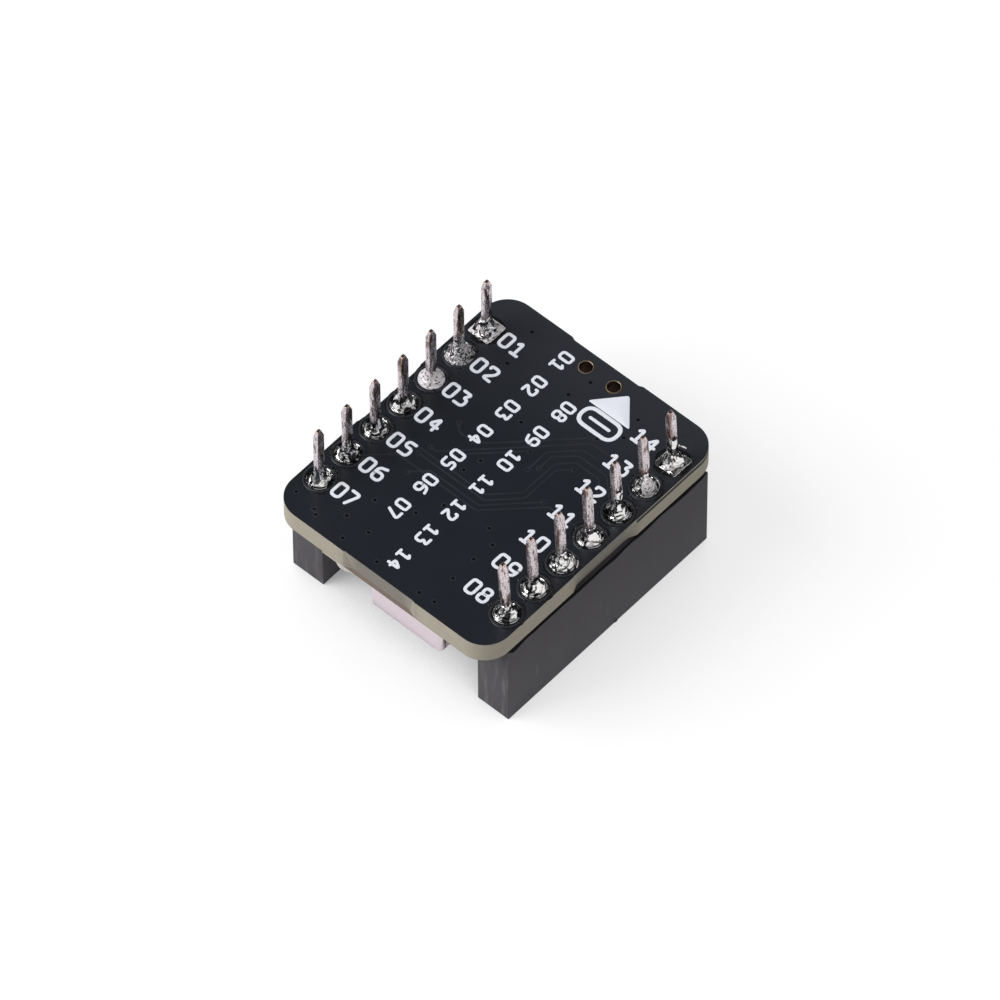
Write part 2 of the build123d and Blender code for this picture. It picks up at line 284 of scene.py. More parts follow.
def new_material(name, **plain):
    """A named material, its tree, its shader with the plain sockets set, and object coordinates."""
    material = bpy.data.materials.new(name)
    material.use_nodes = True
    tree = material.node_tree
    shader = tree.nodes["Principled BSDF"]
    fill(shader, **plain)
    return material, tree, shader, add(tree, "TexCoord").outputs["Object"]


def two_tone(name, first, second, size, detail=3, tooth=0, **plain):
    """A finish of two close tones in grains of one size, with a fine tooth if its depth is given."""
    material, tree, shader, place = new_material(name, **plain)
    grain = add(tree, "TexNoise", place, per(size), Detail=detail)
    fill(shader, Base_Color=add(tree, "Mix RGBA", grain, first, second))
    if tooth:
        fill(shader, Normal=add(tree, "Bump", Height=grain, Strength=0.3, Distance=tooth))
    return material


def board_laminate(s):
    """Black epoxy lacquer on woven glass: satin black faces, painted paler towards the back as a sheen,
    a routed edge of dull tan plies, rough browner breaks where tabs were snapped off, and a dark line
    in the right edge near the top."""
    material, tree, shader, place = new_material("solder_mask_on_glass_epoxy")
    x, y, z = add(tree, "SeparateXYZ", place).outputs
    skin = 0.02 * MM
    above = add(tree, "Math GREATER_THAN", z, board_high.z - skin)
    below = add(tree, "Math LESS_THAN", z, board_low.z + skin)
    faces = add(tree, "Math MAXIMUM", above, below)
    cloud = add(tree, "TexNoise", place, per(3 * MM), Detail=3)
    black = add(tree, "Mix RGBA", cloud, s.lacquer, s.lacquer_worn)
    # Painted sheen: towards the back the lacquer is painted towards the raised lacquer's paler tone, as a
    # soft light's reflection would make it.
    painted_sheen = add(tree, "MapRange", y, 2 * MM, 12 * MM, To_Max=0.75)
    black = add(tree, "Mix RGBA", painted_sheen, black, s.raised)
    flat = add(tree, "Mapping", place, Scale=(1, 1, 4))
    plies = add(tree, "TexNoise", flat, per(0.9 * MM), Detail=5)
    tan = add(tree, "Mix RGBA", plies, s.core, s.core_pale)
    # The tabs stood in the middle of the sides, where X or Y is small.
    across = add(tree, "Math ABSOLUTE", x)
    along = add(tree, "Math ABSOLUTE", y)
    near = add(tree, "Math MINIMUM", across, along)
    ragged = add(tree, "Math MULTIPLY_ADD", plies, 0.8 * MM, near)
    snapped = add(tree, "MapRange", ragged, 2.2 * MM, 3.8 * MM, To_Min=1, To_Max=0)
    edge = add(tree, "Mix RGBA", snapped, tan, s.snapped)
    # The dark line wanders a little in height, and shows in the right edge's rear part only.
    wander = add(tree, "Math MULTIPLY_ADD", plies, 0.12 * MM, z)
    depth, half_width = 0.21 * MM, 0.145 * MM
    dark_line = add(tree, "Math COMPARE", wander, board_high.z - depth, half_width)
    rear = add(tree, "Math GREATER_THAN", y, 2.9 * MM)
    right = add(tree, "Math GREATER_THAN", x, board_high.x - 0.6 * MM)
    corner = add(tree, "Math MULTIPLY", rear, right)
    dark = add(tree, "Math MULTIPLY", dark_line, corner)
    side = add(tree, "Mix RGBA", dark, edge, linear("0d0c0b"))
    fill(shader, Base_Color=add(tree, "Mix RGBA", faces, side, black))
    fill(shader, Roughness=add(tree, "MapRange", faces, To_Min=0.75, To_Max=0.3))
    peel = add(tree, "TexNoise", place, per(0.12 * MM), Detail=2)
    press = add(tree, "MapRange", faces, To_Min=0.6, To_Max=0.05)
    fill(shader, Normal=add(tree, "Bump", Height=peel, Strength=press, Distance=0.03 * MM))
    return material


def raised_lacquer(s):
    """The same lacquer where copper lifts it: it thins at the edges, so it looks a little paler."""
    tones = s.lacquer_worn, s.raised
    return two_tone("solder_mask_over_copper", *tones, 1.2 * MM, detail=2, Roughness=0.28)


def shaded_via_mouth():
    """Lacquer sunk into a plated hole: a glossy dimple painted black for the shade in it, which shows
    one speck of light.
    """
    tones = linear("050506"), linear("101113")
    return two_tone("sunken_solder_mask", *tones, 0.1 * MM, detail=2, Roughness=0.12)


def epoxy_ink(s):
    """Screen printed epoxy ink: dead white with a faint grain, and duller than the lacquer."""
    tones = toned(s.ink, 0.97), s.ink
    return two_tone("white_epoxy_ink", *tones, 0.08 * MM, detail=2, Roughness=0.6)


def flux_and_gap_shadow():
    """Baked flux and painted shadow in the gap under the board: dull, dark and granular."""
    tones = linear("060606"), linear("191818")
    return two_tone("baked_flux", *tones, 0.12 * MM, Roughness=0.85, Specular_IOR_Level=0.05)


def thin_metal(name, tone, roughness):
    """Plated or bare soft metal: its own colour, with a darker tone where it is thin or stained."""
    tones = toned(tone, 0.55), tone
    return two_tone(name, *tones, 0.25 * MM, Metallic=1.0, Roughness=roughness)


def speckled(name, code, second, size, roughness, tooth):
    """A dull moulded or fired body: two close tones in grains of one size, and a fine tooth."""
    return two_tone(name, linear(code), linear(second), size, tooth=tooth, Roughness=roughness)


def bright_solder(s):
    """Tin alloy set quickly: near mirror bright, with dull freckles where it froze first, and dark
    swirls painted into its colour as reflections of the dark surroundings."""
    material, tree, shader, place = new_material("bright_tin_solder", Metallic=1.0)
    # Painted reflection: the mask below paints dark swirls into the base colour, for the dark surroundings
    # that bright solder mirrors.
    reflection_swirl = add(tree, "TexNoise", place, per(0.6 * MM), Detail=2, Distortion=1)
    flux = add(tree, "MapRange", reflection_swirl, 0.43, 0.48)
    fill(shader, Base_Color=add(tree, "Mix RGBA", flux, linear("343335"), s.solder))
    patch = add(tree, "TexNoise", place, per(0.3 * MM), Detail=3)
    fill(shader, Roughness=add(tree, "MapRange", patch, 0.5, 0.75, To_Min=0.02, To_Max=0.12))
    wrinkle = add(tree, "TexNoise", place, per(0.32 * MM), Detail=1)
    fill(shader, Normal=add(tree, "Bump", Height=wrinkle, Strength=0.6, Distance=0.06 * MM))
    return material


def frosted_solder():
    """Tin alloy that moved while it set: white and frosted, with fine dark cracks between grains."""
    material, tree, shader, place = new_material("frosted_tin_solder", Metallic=0.2)
    grain = add(tree, "TexNoise", place, per(0.14 * MM), Detail=4, Distortion=0.8)
    crack = add(tree, "MapRange", grain, 0.37, 0.46)
    white = add(tree, "Mix RGBA", crack, linear("4a494c"), linear("f4eef1"))
    rough = add(tree, "MapRange", grain, To_Min=0.25, To_Max=0.6)
    bump = add(tree, "Bump", Height=grain, Strength=0.8, Distance=0.05 * MM)
    fill(shader, Base_Color=white, Roughness=rough, Normal=bump)
    return material


def grainy_solder():
    """Tin alloy that cooled slowly on the ground copper: grey, frosted and full of small pits."""
    material, tree, shader, place = new_material("slow_cooled_solder", Metallic=0.75, Roughness=0.3)
    grain = add(tree, "TexNoise", place, per(0.13 * MM), Detail=5)
    patch = add(tree, "TexNoise", place, per(0.6 * MM), Detail=2)
    both = add(tree, "Math MULTIPLY_ADD", patch, 0.7, grain)
    crust = add(tree, "MapRange", both, 0.76, 0.92)
    shade = add(tree, "Mix RGBA", crust, linear("29292c"), linear("efecee"))
    pits = add(tree, "TexVoronoi", place, per(0.2 * MM))
    rugged = add(tree, "Math ADD", pits, both)
    bump = add(tree, "Bump", Height=rugged, Strength=1, Distance=0.1 * MM)
    fill(shader, Base_Color=shade, Normal=bump)
    return material


def tinned_tail(s):
    """Stamped copper alloy under dull tin: streaks and dark specks along the tail, brown stains
    where the plating is thin, and bare metal where the tip was cut."""
    material, tree, shader, place = new_material("tinned_copper_alloy", Metallic=1.0)
    along = add(tree, "Mapping", place, Scale=(1, 1, 0.3))
    streak = add(tree, "TexNoise", along, per(0.2 * MM), Detail=4)
    patch = add(tree, "TexNoise", along, per(0.55 * MM), Detail=3)
    stain = add(tree, "MapRange", patch, 0.54, 0.6, To_Max=0.85)
    brown = add(tree, "Mix RGBA", stain, s.tin, s.stain)
    grit = add(tree, "TexNoise", place, per(0.07 * MM), Detail=2)
    speck = add(tree, "MapRange", grit, 0.53, 0.62, To_Max=0.8)
    score = add(tree, "MapRange", streak, 0.36, 0.44, To_Min=0.8, To_Max=0)
    either = add(tree, "Math MAXIMUM", speck, score)
    worn = add(tree, "Mix RGBA", either, brown, linear("352e2f"))
    z = add(tree, "SeparateXYZ", place).outputs["Z"]
    ragged = add(tree, "Math MULTIPLY_ADD", streak, 0.3 * MM, z)
    bare = add(tree, "MapRange", ragged, tail_top + 0.03 * MM, tail_top + 0.08 * MM)
    fill(shader, Base_Color=add(tree, "Mix RGBA", bare, worn, s.tip))
    fill(shader, Roughness=add(tree, "MapRange", streak, To_Min=0.08, To_Max=0.45))
    folds = add(tree, "Math MULTIPLY_ADD", patch, 3, streak)
    fill(shader, Normal=add(tree, "Bump", Height=folds, Strength=0.9, Distance=0.06 * MM))
    return material


def rosin_film():
    """Dried flux on black lacquer: a wet looking skin with small bubbles."""
    material, tree, shader, place = new_material("dried_rosin_flux", Roughness=0.1)
    fill(shader, Base_Color=linear("1a1a1c"))
    bubble = add(tree, "TexVoronoi", place, per(0.15 * MM))
    crust = add(tree, "TexNoise", place, per(0.3 * MM), Detail=4)
    both = add(tree, "Math MULTIPLY_ADD", bubble, 0.5, crust)
    fill(shader, Normal=add(tree, "Bump", Height=both, Strength=0.9, Distance=0.06 * MM))
    return material


def socket_plastic(s):
    """Glass filled polymer, injection moulded: satin dark grey with flow marks, and pale smears on
    the ends, partly scuffs where a longer strip was cut and partly painted light that makes the ends
    brighter than the sides."""
    sheen = {"Roughness": 0.5, "Specular_IOR_Level": 0.06}
    material, tree, shader, place = new_material("glass_filled_black_polymer", **sheen)
    flow = add(tree, "Mapping", place, Scale=(1, 1, 0.35))
    cloud = add(tree, "TexNoise", flow, per(2.5 * MM), Detail=4)
    shade = add(tree, "Mix RGBA", cloud, s.plastic, toned(s.plastic, 1.3))
    scratch = add(tree, "Mapping", place, Rotation=(0.2, 0.1, 0), Scale=(1, 1, 0.12))
    line = add(tree, "TexNoise", scratch, per(0.4 * MM), Detail=3)
    # The comparison is 0 on the two ends, which have more smears than the sides between them. The
    # smears are partly scuffs and partly painted light, which makes the ends brighter than the sides.
    low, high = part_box("left_socket_housing")
    middle, reach = (low.y + high.y) / 2, (high.y - low.y) / 2 - 0.05 * MM
    y = add(tree, "SeparateXYZ", place).outputs["Y"]
    between = add(tree, "Math COMPARE", y, middle, reach)
    smear_and_end_light = add(tree, "MapRange", line, 0.5, 0.72, To_Max=0.5)
    scuff = add(tree, "MapRange", line, 0.68, 0.78, To_Max=0.3)
    mark = add(tree, "Mix FLOAT", between, smear_and_end_light, scuff)
    fill(shader, Base_Color=add(tree, "Mix RGBA", mark, shade, linear("8c8a8a")))
    grit = add(tree, "TexNoise", place, per(0.07 * MM), Detail=2)
    fill(shader, Normal=add(tree, "Bump", Height=grit, Strength=0.25, Distance=0.02 * MM))
    return material


def shield_sheet(s):
    """Nickel silver sheet, rolled and folded: warm white metal with fine lines along the roll, and
    painted shade beside each end of its long walls: a dark line for the gap where two folded walls
    don't quite meet, drawn in the colour only."""
    material, tree, shader, place = new_material("nickel_silver_sheet", Metallic=1.0)
    low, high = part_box("shield_can")
    centre, reach = (low.y + high.y) / 2, (high.y - low.y) / 2
    x, y, z = add(tree, "SeparateXYZ", place).outputs
    across = add(tree, "Math ABSOLUTE", x)
    # Painted shade: a dark line near each end of the long walls, where the gap between two folded walls
    # would lie in shade.
    wall = add(tree, "Math GREATER_THAN", across, high.x - 0.05 * MM)
    shift = add(tree, "Math SUBTRACT", y, centre)
    from_middle = add(tree, "Math ABSOLUTE", shift)
    fold = add(tree, "Math COMPARE", from_middle, reach - 0.45 * MM, 0.05 * MM)
    slit_painted_shade = add(tree, "Math MULTIPLY", wall, fold)
    shade = add(tree, "Mix RGBA", slit_painted_shade, s.can, linear("121212"))
    along = add(tree, "Mapping", place, Scale=(0.1, 1, 1))
    line = add(tree, "TexNoise", along, per(0.12 * MM), Detail=4)
    rough = add(tree, "MapRange", line, To_Min=0.22, To_Max=0.42)
    bump = add(tree, "Bump", Height=line, Strength=0.15, Distance=0.01 * MM)
    fill(shader, Base_Color=shade, Roughness=rough, Normal=bump)
    return material


def module_laminate():
    """Green lacquer on a thin glass board: the faces are dark green, and the cut edge is brown."""
    material, tree, shader, place = new_material("green_solder_mask_on_glass_epoxy", Roughness=0.42)
    low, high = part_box("module_board")
    middle, reach = (low.z + high.z) / 2, (high.z - low.z) / 2 - 0.02 * MM
    z = add(tree, "SeparateXYZ", place).outputs["Z"]
    edge = add(tree, "Math COMPARE", z, middle, reach)
    grain = add(tree, "TexNoise", place, per(0.3 * MM), Detail=3)
    face = add(tree, "Mix RGBA", grain, linear("153a2b"), linear("1c4836"))
    side = add(tree, "Mix RGBA", grain, linear("5e4a3b"), linear("7d6652"))
    fill(shader, Base_Color=add(tree, "Mix RGBA", edge, face, side))
    return material


def ring_faces(rows, columns):
    """The quads of a grid whose columns close on themselves, as an array of corner numbers."""
    row, column = np.meshgrid(np.arange(rows - 1), np.arange(columns), indexing="ij")
    after = (column + 1) % columns
    corners = [row * columns + column, row * columns + after]
    corners += [(row + 1) * columns + after, (row + 1) * columns + column]
    return np.stack(corners, -1).reshape(-1, 4)


def show(name, mesh, material, replaces):
    """Puts a mesh into the scene as a piece on the root body, with its material and smooth shading."""
    mesh.shade_smooth()
    mesh.materials.append(material)
    piece = bpy.data.objects.new(name, mesh)
    bpy.context.scene.collection.objects.link(piece)
    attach(piece, "root")
    if replaces:
        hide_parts(*replaces)
    return piece


def add_piece(name, shells, material, replaces=(), angle=40):
    """One piece from closed shells, each a grid (rows, columns, 3) whose end rows are points. Edges
    sharper than the angle stay sharp."""
    start = np.cumsum([0] + [shell.shape[0] * shell.shape[1] for shell in shells])
    faces = [ring_faces(*shell.shape[:2]) + first for shell, first in zip(shells, start)]
    points = np.concatenate([shell.reshape(-1, 3) for shell in shells])
    mesh = bpy.data.meshes.new(name)
    mesh.from_pydata(points.tolist(), [], np.concatenate(faces).tolist())
    body = bmesh.new()
    body.from_mesh(mesh)
    bmesh.ops.remove_doubles(body, verts=body.verts, dist=0.0002 * MM)
    bmesh.ops.dissolve_degenerate(body, edges=body.edges, dist=0.0001 * MM)
    bmesh.ops.recalc_face_normals(body, faces=body.faces)
    body.to_mesh(mesh)
    body.free()
    show(name, mesh, material, replaces)
    mesh.set_sharp_from_angle(angle=np.radians(angle))


def dress(node, material):
    """Gives a CAD node its finish."""
    mesh = frame["nodes"][node].data
    mesh.materials.clear()
    mesh.materials.append(material)


def soften(node, material, radius):
    """Stands for a CAD node with its edges rounded. The node's triangles are joined, those in one
    plane merge into a face, and a bevel replaces each real edge by an arc of that radius."""
    mesh = bpy.data.meshes.new(f"{node}_rounded")
    body = bmesh.new()
    body.from_mesh(frame["nodes"][node].data)
    bmesh.ops.remove_doubles(body, verts=body.verts, dist=0.0005 * MM)
    one_plane, real_edge = np.radians(0.5), np.radians(30)
    bmesh.ops.dissolve_limit(body, verts=body.verts, edges=body.edges, angle_limit=one_plane)
    body.to_mesh(mesh)
    body.free()
    bevel = show(f"{node}_rounded", mesh, material, (node,)).modifiers.new("edges", "BEVEL")
    bevel.width, bevel.segments = radius, 2
    bevel.limit_method, bevel.angle_limit = "ANGLE", real_edge
    bevel.harden_normals = True


def around(columns):
    """The angles of the columns of one full turn, as a row."""
    return np.linspace(0, 2 * np.pi, columns, endpoint=False)[None]


def polar(centre, radius, angle, height):
    """A grid of points at these radii and angles round an upright axis, at these heights."""
    x, y = centre[0] + radius * np.cos(angle), centre[1] + radius * np.sin(angle)
    return np.stack([x, y, np.broadcast_to(height, x.shape)], -1)


def footed(skin, centre, level):
    """The skin with a wall straight down from its first row to a level, and a point to close it."""
    foot = skin[:1] * [1, 1, 0] + [0, 0, level]
    end = foot * [0, 0, 1] + [centre[0], centre[1], 0]
    return np.concatenate([end, foot, skin])


def rounded(corners, reach, steps=7, closed=False):
    """A line whose corners are bent: each is a parabola between points reach before and after it."""
    p = np.asarray(corners, float)
    before = np.roll(p, 1, 0) if closed else p[:-2]
    here = p if closed else p[1:-1]
    after = np.roll(p, -1, 0) if closed else p[2:]
    back, ahead = before - here, after - here
    size_back = np.linalg.norm(back, axis=1, keepdims=True)
    size_ahead = np.linalg.norm(ahead, axis=1, keepdims=True)
    first = here + back / size_back * np.minimum(reach, size_back / 2)
    last = here + ahead / size_ahead * np.minimum(reach, size_ahead / 2)
    t = np.linspace(0, 1, steps)[None, :, None]
    bend = (1 - t) ** 2 * first[:, None] + 2 * t * (1 - t) * here[:, None] + t**2 * last[:, None]
    bend = bend.reshape(-1, 2)
    return bend if closed else np.concatenate([p[:1], bend, p[-1:]])


def ribbon(line, width, height, crown=0.6, closed=False):
    """A low raised line on the board: an arch of that width and height carried along the line.
    At an open end the width shrinks as a half circle does, so that the end is round."""
    apart = 0.0001 * MM
    keep = np.r_[True, np.linalg.norm(np.diff(line, axis=0), axis=1) > apart]
    line = line[keep]
    half = width / 2
    if closed:
        if np.linalg.norm(line[0] - line[-1]) > apart:
            line = np.concatenate([line, line[:1]])
        tangent = np.roll(line[:-1], -1, 0) - np.roll(line[:-1], 1, 0)
        tangent = np.concatenate([tangent, tangent[:1]])
        share = np.ones(len(line))
    else:
        turn = np.linspace(0, np.pi / 2, 6)
        ends = [line[0] - line[1], line[-1] - line[-2]]
        ends = [end / np.linalg.norm(end) for end in ends]
        first = line[0] + ends[0] * half * np.cos(turn)[:, None]
        last = line[-1] + ends[1] * half * np.cos(turn[::-1])[:, None]
        share = np.concatenate([np.sin(turn), np.ones(len(line) - 2), np.sin(turn[::-1])])
        line = np.concatenate([first, line[1:-1], last])
        tangent = np.gradient(line, axis=0)
    tangent = tangent / np.linalg.norm(tangent, axis=1, keepdims=True)
    side = np.stack([-tangent[:, 1], tangent[:, 0]], 1)
    arch = np.linspace(0, np.pi, 9)
    across = np.r_[1, np.cos(arch), -1] * half
    up = np.r_[-1, np.sin(arch) ** crown, -1] * height
    flat = line[:, None] + side[:, None] * (across[None] * share[:, None])[..., None]
    level = board_high.z + up[None] * np.where(up > 0, np.sqrt(share)[:, None], 1)
    return np.concatenate([flat, level[..., None]], -1)


def lathe(profile, centre, columns=32):
    """A turned form: the profile's (radius, height) points carried round an upright axis."""
    radius, height = np.asarray(profile, float).T
    return polar(centre, radius[:, None], around(columns), height[:, None])


def plate(outline, height):
    """A low flat patch with a soft edge: the outline, drawn in a little at the top and closed."""
    middle = outline.mean(0)
    inset = 1 - np.array([1, 0, 0, 0.012, 0.03, 1])
    level = board_high.z + np.array([-1, -1, 0.4, 0.85, 1, 1]) * height
    flat = middle + (outline - middle)[None] * inset[:, None, None]
    return np.concatenate([flat, np.broadcast_to(level[:, None, None], (*flat.shape[:2], 1))], -1)


def waves(angle, rise, draw, count=6, fall=0.6):
    """A smooth uneven value over a turn and a rise from 0 to 1: a sum of waves with drawn phases."""
    turns = np.arange(1, count + 1)[:, None, None]
    phase = draw.uniform(0, 2 * np.pi, (count, 1, 1))
    climb = draw.uniform(-4, 4, (count, 1, 1)) * turns
    size = draw.normal(0, 1, (count, 1, 1)) / turns**fall
    return (size * np.cos(turns * angle + climb * rise + phase)).sum(0) / 2


def bell(rise, place, width):
    """A smooth bump of height 1 at that place, about twice as wide as the width."""
    return np.exp(-(((rise - place) / width) ** 2))


def middle_of(node):
    low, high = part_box(node)
    return (low + high) / 2


def solder_surface(centre, foot, low, high, bulge, uneven, draw, coat=0):
    """Solder on one pad. The radius falls from the foot to a neck that follows the tail's section,
    and the height is a mix of a hollow power curve and a dome, with a rim, a furrow and lumps.
    A coat is a last stretch that follows the tail upwards and closes on it."""
    angle = around(96)
    rise = 1 - (1 - np.linspace(0, 1, 40)[:, None]) ** 1.6
    rim = foot * (1 + 0.025 * uneven * waves(angle, 0, draw))
    half_x, half_y = 0.24 * MM, 0.34 * MM  # a little more than the tail's half section
    neck = (np.abs(np.cos(angle) / half_x) ** 3 + np.abs(np.sin(angle) / half_y) ** 3) ** (-1 / 3)
    radius = rim + (neck - rim) * rise
    hollow, dome = rise**2.6, 1 - (1 - rise) ** 2.2
    tall = (high - low) * (1 + 0.1 * uneven * waves(angle, 0, draw))
    height = tall * ((1 - bulge) * hollow + bulge * 0.62 * dome + bulge * 0.38 * rise**6)
    edge, furrow = 0.06 * MM * bell(rise, 0.05, 0.05), 0.04 * MM * bell(rise, 0.2, 0.07)
    crease = 0.6 - 1.2 * np.abs(waves(angle, rise, draw, 4, 0.3))
    lumps = 0.08 * MM * uneven * (crease + 0.3 * waves(angle, rise, draw, 9)) * np.sin(np.pi * rise) ** 0.7
    height = low + height + edge - furrow + lumps
    height = np.maximum(height, low + sunk)
    if coat:
        climb = np.linspace(0, 1, 24)[1:, None]
        drawn = 1 + 0.1 * waves(angle, climb, draw, 6) * np.sin(np.pi * climb)
        radius = np.concatenate([radius, neck * drawn * (1 - 0.16 * climb**2)])
        height = np.concatenate([height, height[-1:] + coat * climb * (1 + 0.15 * waves(angle, 0, draw))])
    skin = polar(centre, radius, angle, height)
    tip = skin[:1] * 0 + [centre.x, centre.y, height[-1].min() - 0.1 * MM]
    return np.concatenate([footed(skin, centre, low - sunk), tip])


def solder_bead(centre, radii, uneven, draw):
    """A bead beside a joint: an egg of three radii, swollen and dented by waves over its skin."""
    angle = around(48)
    fall = np.linspace(0, np.pi, 25)[:, None]
    swell = 1 + 0.08 * uneven * waves(angle, fall / np.pi, draw, 5) * np.sin(fall)
    x = centre[0] + radii[0] * swell * np.sin(fall) * np.cos(angle)
    y = centre[1] + radii[1] * swell * np.sin(fall) * np.sin(angle)
    z = centre[2] - radii[2] * np.cos(fall) * np.ones_like(angle)
    return np.stack([x, y, z], -1)


def tinned_square(node, draw):
    """A square pad with its skin of solder: a level that drops at the four sides, and is uneven."""
    low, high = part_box(node)
    half, centre = (high.x - low.x) / 2, ((low.x + high.x) / 2, (low.y + high.y) / 2)
    angle = around(128)
    square = (np.abs(np.cos(angle)) ** 14 + np.abs(np.sin(angle)) ** 14) ** (-1 / 14)
    share = np.linspace(1, 0, 24)[:, None]
    radius = half * square * share
    lumps = 0.12 * MM * (0.5 - np.abs(waves(angle, share, draw, 4, 0.3))) * share
    height = high.z + (0.1 * MM + lumps) * (1 - share**8)
    return footed(polar(centre, radius, angle, np.maximum(height, high.z)), centre, low.z - sunk)


def film_patch(centre, radius, draw):
    """A thin uneven patch of dried flux: a round outline with waves, thickest just inside it."""
    angle = around(72)
    share = np.linspace(1, 0, 10)[:, None]
    edge = radius * (1 + 0.07 * waves(angle, 0, draw, 7, 0.5))
    height = board_high.z + 0.001 * MM + 0.016 * MM * (1 - share**6) * (0.6 + 0.4 * share)
    return footed(polar(centre, edge * share, angle, height), centre, board_high.z - sunk)


def flux_drop(centre, radius):
    """A spat drop of flux: a quarter circle's arch turned round an upright axis, twice as wide as
    it is high."""
    turn = np.linspace(0, np.pi / 2, 5)
    arch = np.stack([radius * np.cos(turn), board_high.z + 0.5 * radius * np.sin(turn)], 1)
    foot = board_high.z - sunk
    return lathe([(0, foot), (radius, foot), *arch.tolist()], centre, 14)


def dark_flux_and_shadow_line(face, low, high, top, thickness, draw):
    """A dark bead along a strip's top edge, partly baked flux and partly painted shadow of the gap
    under the board: a flat ellipse in section, carried along Y. Its height is a sum of waves, and it
    hangs from the board's underside."""
    share = np.linspace(0, 1, 220)[:, None]
    angle = around(12)
    half = thickness / 2 * (1 + 0.2 * waves(2 * np.pi * share, share, draw, 16, 0.6))
    half = np.maximum(half, 0.3 * thickness) * np.minimum(1, 40 * share * (1 - share))
    x = face + 0.03 * MM * np.cos(angle) * np.minimum(1, 80 * share * (1 - share))
    z = top - half + half * np.sin(angle)
    return np.stack([x, np.broadcast_to(low + (high - low) * share, x.shape), z], -1)


def writing(text, first, across, up, height, stroke, step, ink):
    """The ribbons of a line of digits: each digit's strokes, scaled and set along the line."""
    first, across, up = np.array(first), np.array(across), np.array(up)
    made = []
    for number, sign in enumerate(text):
        for stroke_line in numerals.get(sign, []):
            cell = rounded(stroke_line, 0.26)
            place = first + across * step * number + height * (cell[:, :1] * across + cell[:, 1:] * up)
            made.append(ribbon(place, stroke, ink, 0.15))
    return made


class RADIO_OT_board(bpy.types.Operator):
    """Gives the carrier board its lacquer and routed edge, and the module's board its own"""

    bl_idname = "radio.board"
    bl_label = "Board laminate"

    def execute(self, context):
        s = context.scene.radio_lacquer
        dress("carrier_board", board_laminate(s))
        dress("module_board", module_laminate())
        return {"FINISHED"}


class RADIO_OT_tracks(bpy.types.Operator):
    """Adds the tracks and tented vias that lift the lacquer, and the rings of the open holes"""

    bl_idname = "radio.tracks"
    bl_label = "Tracks, vias and rings"

    def execute(self, context):
        s = context.scene.radio_lacquer
        lacquer = raised_lacquer(s)
        lines = [rounded(np.array(line) * MM, 0.18 * MM, 4) for line in tracks]
        made = [ribbon(line, s.track_width, s.track_height, 0.35) for line in lines]
        add_piece("lacquered_tracks", made, lacquer)
        for name, shares, columns, material in (
            ("tented_vias", via_profile, 20, lacquer),
            # The mouths are painted near black: painted shade of the dimple in each via.
            ("via_mouths", mouth_profile, 16, shaded_via_mouth()),
        ):
            profile = np.array(shares) * (s.via_radius, 0.001 * MM) + (0, board_high.z)
            made = [lathe(profile, np.array(place) * MM, columns) for place in via_places]
            add_piece(name, made, material)
        self.hole_plating(s.ring_width, context.scene.radio_body.copper)
        return {"FINISHED"}

    def hole_plating(self, width, copper):
        """A thin ring on each face round the open holes, and the tarnished barrel between them."""
        inside, plating, lift = 0.44 * MM, 0.009 * MM, 0.04 * MM
        low, high = board_low.z + 0.001 * MM, board_high.z - 0.001 * MM
        wall = [(inside, low), (inside + plating, low), (inside + plating, high), (inside, high)]
        rings, barrels = [], []
        for hole in open_holes:
            for face, rise in ((board_high.z, lift), (board_low.z, -lift)):
                profile = np.array(ring_profile) * (width, rise) + (inside, face)
                rings.append(lathe(profile, hole, 48))
            barrels.append(lathe(wall + wall[:1], hole, 48))
        add_piece("open_hole_rings", rings, thin_metal("bare_copper", copper, 0.5))
        tarnish = thin_metal("tarnished_copper", linear("4a3226"), 0.5)
        add_piece("open_hole_barrels", barrels, tarnish)


class RADIO_OT_print(bpy.types.Operator):
    """Adds the arrow, the port outline, the pin numbers and the two long lines of numbers"""

    bl_idname = "radio.print"
    bl_label = "White print"

    def execute(self, context):
        s = context.scene.radio_print
        ink = epoxy_ink(s)
        centre, size = np.array(port_centre) * MM, np.array(port_size) * MM / 2
        loop = centre + size * np.array([(-1, -1), (1, -1), (1, 1), (-1, 1)])
        bar = centre + np.array([(-0.5, 0), (0, 0), (0.5, 0)]) * port_bar_length * MM
        made = [
            plate(rounded(np.array(arrow_corners) * MM, 0.22 * MM, closed=True), s.ink_height),
            ribbon(rounded(loop, size[1], 14, closed=True), s.port_line, s.ink_height, 0.3, closed=True),
            ribbon(bar, s.port_bar, s.ink_height, 0.3),
        ]
        add_piece("port_and_arrow_marks", made, ink)
        made = []
        for side, count in (("left", reversed(PINS)), ("right", PINS)):
            for order, pin in enumerate(count):
                number = order + 1 if side == "left" else order + 8
                place = middle_of(f"{side}_solder_{pin}")
                # A digit is 0.6 as wide as it is high, and a number stands a little past its pad.
                wide, gap, past = s.number_step + 0.6 * s.number_height, 0.35 * MM, 0.15 * MM
                shift = s.number_inset if side == "left" else -s.number_inset - wide - gap
                corner = (place.x + shift, place.y - s.number_height / 2 + past)
                made += writing(f"{number:02d}", corner, (1, 0), (0, 1), s.number_height,
                                s.number_stroke, s.number_step, s.ink_height)
        add_piece("pin_numbers", made, ink)
        made = []
        for text, first in number_lines:
            made += writing(text, np.array(first) * MM, (0, -1), (1, 0), s.line_height, s.line_stroke,
                            s.line_step, s.ink_height)
        add_piece("long_number_lines", made, ink)
        return {"FINISHED"}


